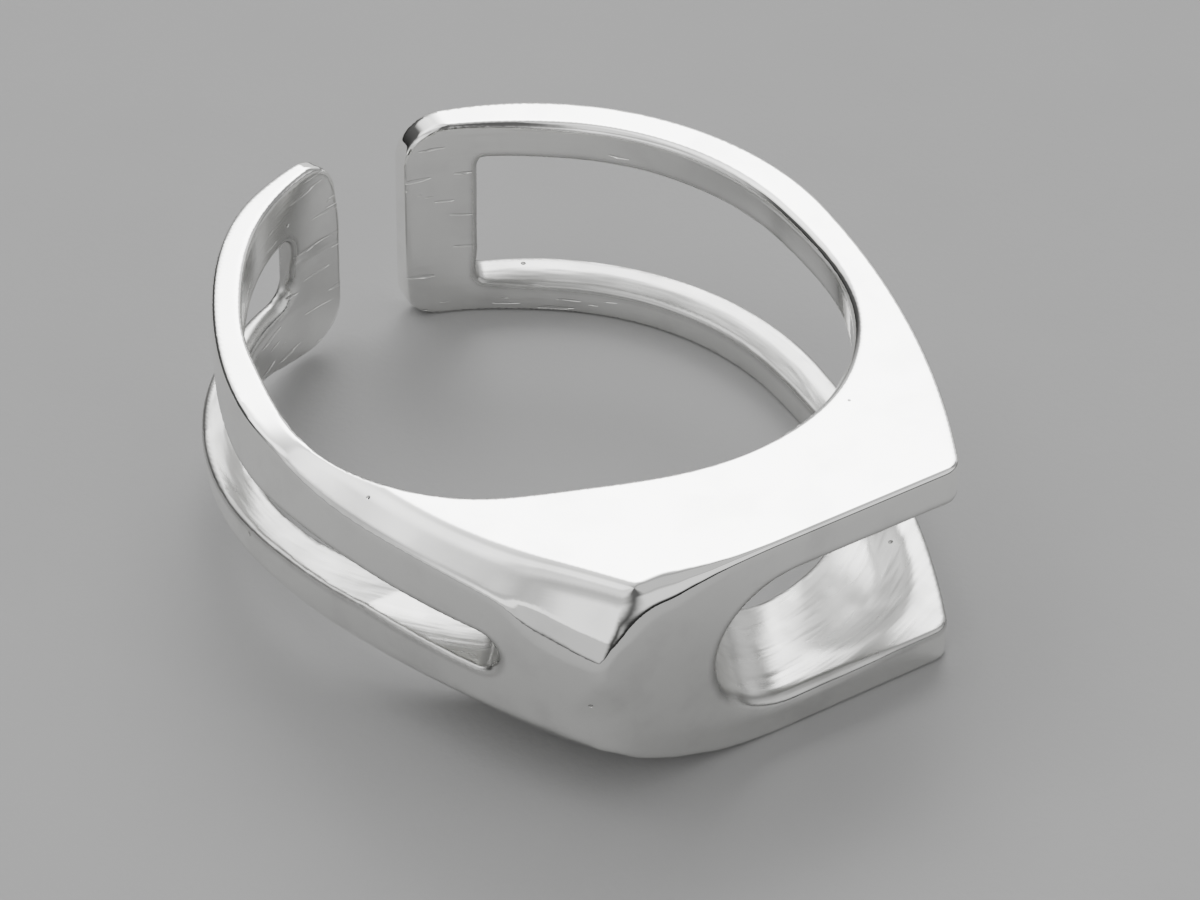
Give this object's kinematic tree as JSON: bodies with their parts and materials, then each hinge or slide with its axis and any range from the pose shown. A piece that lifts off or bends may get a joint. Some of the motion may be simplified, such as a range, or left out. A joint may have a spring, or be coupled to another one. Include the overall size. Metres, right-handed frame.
{
  "type": "adjustable finger ring",
  "caption": "Cast silver finger ring, open at the back so that it adjusts, with a flat tapering face and slots through both sides of the shank.",
  "frame": {"origin": "on the finger axis, in the side plane that the ring lies on", "axes": "+Z along the finger, -Y through the flat face, +X towards the arm with the wide slot"},
  "size_m": [0.0201, 0.023, 0.0074],
  "materials": {
    "silver": "polished, with fine polishing lines inside"
  },
  "bodies": {
    "root": {"shank": "silver"}
  },
  "joints": []
}
